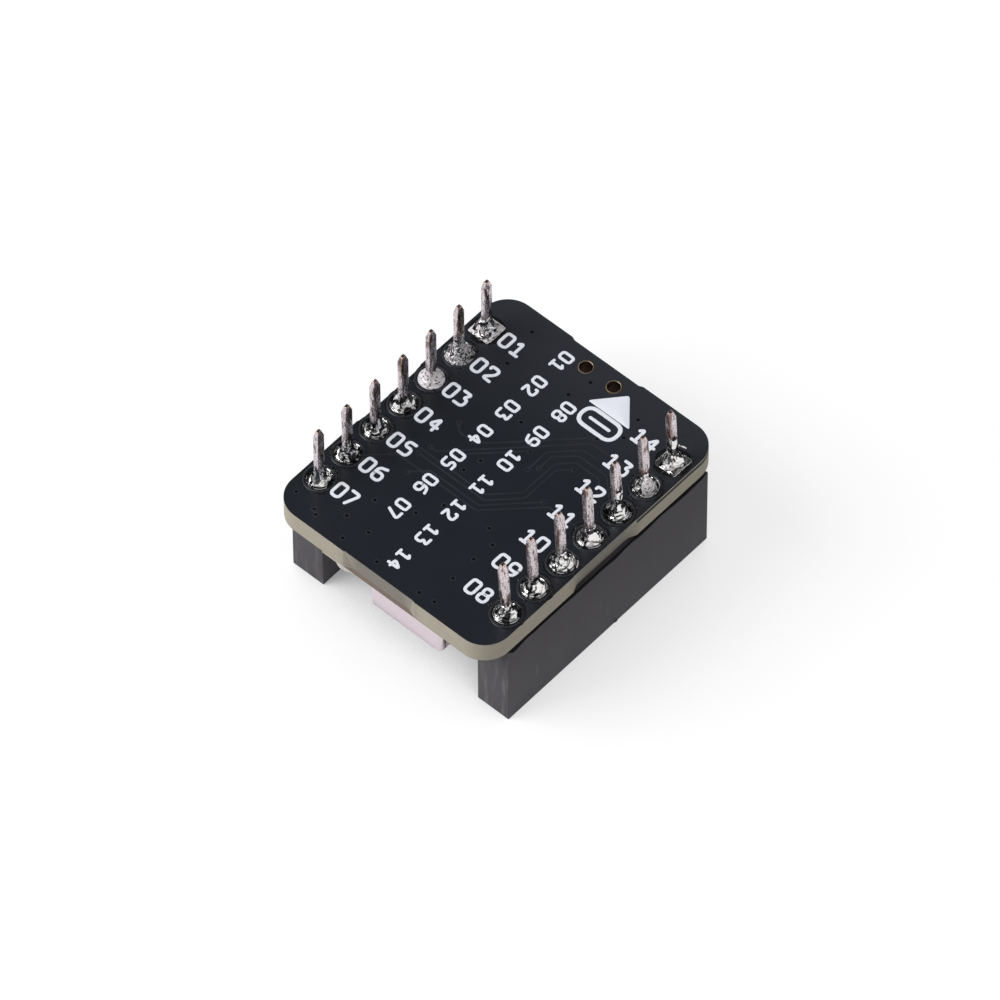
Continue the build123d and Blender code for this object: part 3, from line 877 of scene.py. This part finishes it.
class RADIO_OT_solder(bpy.types.Operator):
    """Adds the solder joints, the tinned square pads and the flux round them"""

    bl_idname = "radio.solder"
    bl_label = "Solder and flux"

    def execute(self, context):
        s = context.scene.radio_solder
        bright, grainy, frosted = bright_solder(s), grainy_solder(), frosted_solder()
        draw = np.random.default_rng(s.seed)
        low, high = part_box("left_solder_1")
        usual_foot = (high.x - low.x) / 2
        for side in SIDES:
            for pin, (bulge, uneven, share) in zip(PINS, joint_shapes[side]):
                node = f"{side}_solder_{pin}"
                low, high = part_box(node)
                foot = (high.x - low.x) / 2
                form = (middle_of(node), foot, low.z, high.z, bulge, uneven, draw, s.coat * share)
                finish = frosted if node in frosted_joints else bright
                if foot > 1.1 * usual_foot:
                    finish = grainy
                made = [solder_surface(*form)]
                add_piece(f"{side}_joint_{pin}", made, finish, (node,), angle=70)
        # Thin white arcs of frosted solder, as painted glints on the flux's edge.
        for side, pin, reach, first, last in painted_glints:
            centre = middle_of(f"{side}_solder_{pin}")
            turn = np.radians(np.linspace(first, last, 12))
            line = polar(centre, reach * MM, turn, 0)[:, :2]
            add_piece(f"{side}_sliver_{pin}", [ribbon(line, 0.1 * MM, 0.07 * MM)], frosted)
        # The beads take the white frosted finish: partly a painted highlight, white in the colour where a
        # smooth bead would mirror the light.
        for side, pin, shift, radii in beads:
            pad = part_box(f"{side}_solder_{pin}")[0].z
            centre = middle_of(f"{side}_solder_{pin}")
            place = np.array([centre.x, centre.y, pad]) + np.array(shift) * MM
            bead = solder_bead(place, np.array(radii) * MM, 0.6, draw)
            add_piece(f"{side}_bead_{pin}", [bead], frosted)
        for node in square_pads:
            finish = frosted if node in frosted_joints else bright
            made = [tinned_square(node, draw)]
            add_piece(f"{node}_tinned", made, finish, (node,), angle=70)
        self.flux(s, draw)
        return {"FINISHED"}

    def flux(self, s, draw):
        """A skin of flux round each joint, and the lacquer that the pad's copper lifts."""
        made, collars = [], []
        profile = np.array(collar_profile) * MM + (s.collar_radius, board_high.z)
        for side in SIDES:
            for pin in PINS:
                place = middle_of(f"{side}_solder_{pin}")
                made.append(film_patch(place, s.film_radius, draw))
                if pin < PINS[-1]:  # the last pad is square, and a piece of its own
                    collars.append(lathe(profile, place, 64))
        for side, count in (("left", 4), ("right", 9)):
            for pin in PINS:
                place = middle_of(f"{side}_solder_{pin}")
                for turn, reach, size in draw.uniform((0, 0.9, 0.04), (2 * np.pi, 1.2, 0.13), (count, 3)):
                    spot = (place.x + reach * np.cos(turn) * MM, place.y + reach * np.sin(turn) * MM)
                    if abs(spot[0]) < board_high.x - 0.2 * MM:
                        made.append(flux_drop(spot, size * MM))
        add_piece("flux_film", made, rosin_film(), angle=60)
        lacquer = bpy.data.materials["solder_mask_over_copper"]
        add_piece("pad_collars", collars, lacquer, angle=60)


class RADIO_OT_contacts(bpy.types.Operator):
    """Rounds the edges of the contacts and the socket strips, and gives them tin and plastic"""

    bl_idname = "radio.contacts"
    bl_label = "Contacts and sockets"

    def execute(self, context):
        s = context.scene.radio_body
        tail = tinned_tail(context.scene.radio_solder)
        plastic = socket_plastic(s)
        low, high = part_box("right_socket_housing")
        draw = np.random.default_rng(context.scene.radio_solder.seed + 1)
        # A dark bead along the right strip's top edge: baked flux, and painted shadow of the gap under the
        # board.
        edge = dark_flux_and_shadow_line(high.x, low.y, high.y, board_low.z, s.flux_and_shadow, draw)
        add_piece("strip_residue", [edge], flux_and_gap_shadow())
        place, radii = (high.x, 1.0 * MM, low.z + 0.12 * MM), np.array((0.08, 0.14, 0.1)) * MM
        add_piece("gate_mark", [solder_bead(place, radii, 1, draw)], plastic)
        for side in SIDES:
            soften(f"{side}_socket_housing", plastic, s.edge_radius)
            for pin in PINS:
                soften(f"{side}_contact_{pin}", tail, 0.7 * s.edge_radius)
        return {"FINISHED"}


class RADIO_OT_module(bpy.types.Operator):
    """Finishes the radio module under the board: its can, antenna socket, chips and joints"""

    bl_idname = "radio.module"
    bl_label = "Radio module"

    def execute(self, context):
        s = context.scene.radio_body
        solder = bpy.data.materials["bright_tin_solder"]
        soften("shield_can", shield_sheet(s), 0.8 * s.edge_radius)
        for node, material in (
            ("antenna_shell", thin_metal("bright_nickel", s.nickel, 0.15)),
            ("antenna_pin", thin_metal("thin_gold", s.gold, 0.28)),
            ("module_joints", solder),
            ("module_chip_caps", solder),
            ("carrier_chip_caps", solder),
        ):
            dress(node, material)
        mould = speckled("black_mould_compound", "242426", "2e2e30", 0.1 * MM, 0.55, 0.02 * MM)
        pale = speckled("pale_liquid_crystal_polymer", "d9d2c2", "e4decf", 0.2 * MM, 0.55, 0.01 * MM)
        lid = speckled("plated_crystal_lid", "a9a59c", "bdb9af", 0.15 * MM, 0.35, 0.01 * MM)
        ceramic = speckled("fired_tan_ceramic", "7d6650", "927a61", 0.1 * MM, 0.5, 0.02 * MM)
        soften("antenna_base", pale, s.edge_radius)
        soften("radio_chip", mould, 0.6 * s.edge_radius)
        soften("antenna_switch_chip", mould, 0.6 * s.edge_radius)
        soften("crystal_oscillator", lid, 0.6 * s.edge_radius)
        dress("module_chip_bodies", ceramic)
        dress("carrier_chip_bodies", ceramic)
        return {"FINISHED"}


class RADIO_OT_stage(bpy.types.Operator):
    """Adds the pale floor, the soft lights, the world and the camera"""

    bl_idname = "radio.stage"
    bl_label = "Floor, lights and camera"

    def execute(self, context):
        s = context.scene.radio_stage
        self.floor(s)
        self.light("key_light", (-0.26, -0.3, 0.33), 0.34, s.key)
        self.light("fill_light", (0.3, 0.1, 0.34), 0.4, s.fill)
        self.world(context.scene, s)
        self.camera(context.scene, s)
        context.scene.view_settings.view_transform = "Standard"
        return {"FINISHED"}

    def floor(self, s):
        """A flat sheet that the camera and metal see brighter than the light makes it."""
        half = 1.5
        corners = [(-half, -half, 0), (half, -half, 0), (half, half, 0), (-half, half, 0)]
        mesh = bpy.data.meshes.new("floor")
        mesh.from_pydata(corners, [], [(0, 1, 2, 3)])
        floor = bpy.data.objects.new("floor", mesh)
        bpy.context.scene.collection.objects.link(floor)
        material, tree, shader, place = new_material("matt_white_paper", Roughness=0.9)
        rays = add(tree, "LightPath").outputs
        sharp = rays["Is Camera Ray"], rays["Is Glossy Ray"]
        seen = add(tree, "Math MAXIMUM", *sharp)
        seen = add(tree, "Math MAXIMUM", seen, rays["Is Transmission Ray"])
        # Painted shadow: the glow fades where ambient occlusion finds other objects close by.
        near = add(tree, "AmbientOcclusion", Distance=10 * MM, samples=8).outputs["AO"]
        levels = {"To_Min": 0.1 * s.glow, "To_Max": s.glow, "interpolation_type": "SMOOTHSTEP"}
        shaded = add(tree, "MapRange", near, From_Max=0.62, **levels)
        glow = add(tree, "Math MULTIPLY", seen, shaded)
        fill(shader, Base_Color=s.floor, Emission_Color=(1, 1, 1, 1), Emission_Strength=glow)
        mesh.materials.append(material)

    def light(self, name, place, size, power):
        lamp = bpy.data.lights.new(name, "AREA")
        lamp.size = size
        lamp.energy = power
        holder = bpy.data.objects.new(name, lamp)
        holder.location = place
        holder.rotation_mode = "QUATERNION"
        holder.rotation_quaternion = (-Vector(place)).to_track_quat("-Z", "Y")
        bpy.context.scene.collection.objects.link(holder)

    def world(self, scene, s):
        """Light from all round at the sky's level. The camera sees it white, and metal sees it white
        near the horizon and dim overhead, as in a room with a dark ceiling."""
        world = bpy.data.worlds.new("studio")
        world.use_nodes = True
        tree = world.node_tree
        rays = add(tree, "LightPath").outputs
        clear = rays["Is Camera Ray"], rays["Is Transmission Ray"]
        seen = add(tree, "Math MAXIMUM", *clear)
        level = add(tree, "MapRange", seen, To_Min=s.sky, To_Max=1)
        z = add(tree, "SeparateXYZ", add(tree, "TexCoord").outputs["Object"]).outputs["Z"]
        room = add(tree, "MapRange", z, 0.06, 0.4, To_Min=1, To_Max=s.ceiling)
        strength = add(tree, "Mix FLOAT", rays["Is Glossy Ray"], level, room)
        fill(tree.nodes["Background"], Color=(1, 1, 1, 1), Strength=strength)
        scene.world = world

    def camera(self, scene, s):
        """Set back from the middle of the board's top along azimuth and elevation, then rolled."""
        turn, lift, roll = np.radians([s.azimuth, s.elevation, s.roll])
        back = np.array([np.sin(turn) * np.cos(lift), -np.cos(turn) * np.cos(lift), np.sin(lift)])
        right = np.array([np.cos(turn), np.sin(turn), 0])
        up = np.cross(back, right)
        place = back * s.distance + right * s.across + up * s.along + [0, 0, board_high.z]
        right, up = right * np.cos(roll) - up * np.sin(roll), right * np.sin(roll) + up * np.cos(roll)
        matrix = np.eye(4)
        matrix[:3] = np.stack([right, up, back, place], 1)
        data = bpy.data.cameras.new("camera")
        data.lens = s.lens
        data.sensor_width = 36
        data.clip_start, data.clip_end = 0.05, 10
        camera = bpy.data.objects.new("camera", data)
        camera.matrix_world = Matrix(matrix.tolist())
        scene.collection.objects.link(camera)
        scene.camera = camera


class RADIO_PT_pieces(bpy.types.Panel):
    """Lists the pieces in the sidebar, each with its button and its settings"""

    bl_idname = "RADIO_PT_pieces"
    bl_label = "Radio board"
    bl_space_type = "VIEW_3D"
    bl_region_type = "UI"
    bl_category = "Radio board"

    def draw(self, context):
        for operator in operators:
            self.layout.operator(operator.bl_idname)
        for name, group in groups.items():
            box = self.layout.box()
            box.label(text=name.replace("radio_", "").capitalize())
            for setting in group.__annotations__:
                box.prop(getattr(context.scene, name), setting)


groups = {
    "radio_lacquer": RADIO_PG_lacquer,
    "radio_print": RADIO_PG_print,
    "radio_solder": RADIO_PG_solder,
    "radio_body": RADIO_PG_body,
    "radio_stage": RADIO_PG_stage,
}
operators = (
    RADIO_OT_stage, RADIO_OT_board, RADIO_OT_tracks, RADIO_OT_print, RADIO_OT_solder,
    RADIO_OT_contacts, RADIO_OT_module,
)


def register():
    for group in groups.values():
        bpy.utils.register_class(group)
    for name, group in groups.items():
        setattr(bpy.types.Scene, name, PointerProperty(type=group))
    for operator in operators:
        bpy.utils.register_class(operator)
    bpy.utils.register_class(RADIO_PT_pieces)


def unregister():
    bpy.utils.unregister_class(RADIO_PT_pieces)
    for operator in reversed(operators):
        bpy.utils.unregister_class(operator)
    for name in groups:
        delattr(bpy.types.Scene, name)
    for group in reversed(list(groups.values())):
        bpy.utils.unregister_class(group)


def main():
    register()
    bpy.ops.radio.stage()
    bpy.ops.radio.board()
    bpy.ops.radio.tracks()
    bpy.ops.radio.print()
    bpy.ops.radio.solder()
    bpy.ops.radio.contacts()
    bpy.ops.radio.module()


if __name__ == "__main__":
    main()
